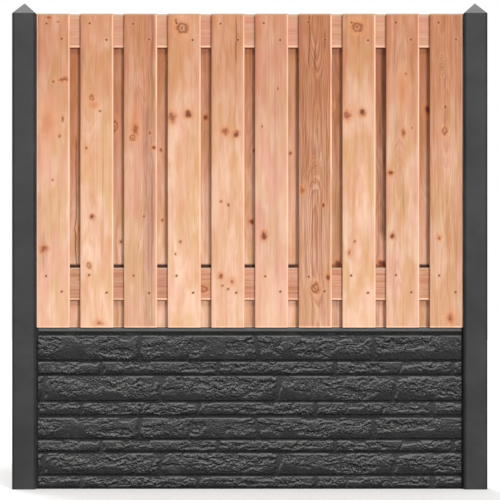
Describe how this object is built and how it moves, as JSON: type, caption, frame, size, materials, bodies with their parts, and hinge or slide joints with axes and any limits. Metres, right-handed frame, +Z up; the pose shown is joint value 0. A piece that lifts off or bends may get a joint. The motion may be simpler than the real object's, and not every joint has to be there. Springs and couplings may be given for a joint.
{
  "type": "wood and concrete fence bay",
  "caption": "Fence bay with dark concrete posts with pyramid heads, stone-faced concrete base plates and a panel of staggered upright timber boards on two rails.",
  "frame": {"origin": "centre of the left post's foot, at ground level", "axes": "+X along the fence towards the right post, +Z up, -Y out of the front face"},
  "size_m": [2.004, 0.1, 2.051],
  "materials": {
    "post_concrete": "fair-faced dark through-coloured concrete",
    "stone_faced_concrete": "cast dark concrete with a rough stone face",
    "board_timber": "planed, unpainted softwood",
    "rail_timber": "planed, unpainted softwood",
    "galvanised_steel": "zinc-coated strip"
  },
  "bodies": {
    "root": {"left_post": "post_concrete", "right_post": "post_concrete", "lower_base_plate": "stone_faced_concrete", "upper_base_plate": "stone_faced_concrete", "top_rail": "rail_timber", "bottom_rail": "rail_timber", "front_board_01": "board_timber", "front_board_02": "board_timber", "front_board_03": "board_timber", "front_board_04": "board_timber", "front_board_05": "board_timber", "front_board_06": "board_timber", "front_board_07": "board_timber", "front_board_08": "board_timber", "front_board_09": "board_timber", "front_board_10": "board_timber", "back_board_01": "board_timber", "back_board_02": "board_timber", "back_board_03": "board_timber", "back_board_04": "board_timber", "back_board_05": "board_timber", "back_board_06": "board_timber", "back_board_07": "board_timber", "back_board_08": "board_timber", "back_board_09": "board_timber", "left_top_bracket": "galvanised_steel", "right_top_bracket": "galvanised_steel", "left_bottom_bracket": "galvanised_steel", "right_bottom_bracket": "galvanised_steel"}
  },
  "joints": []
}
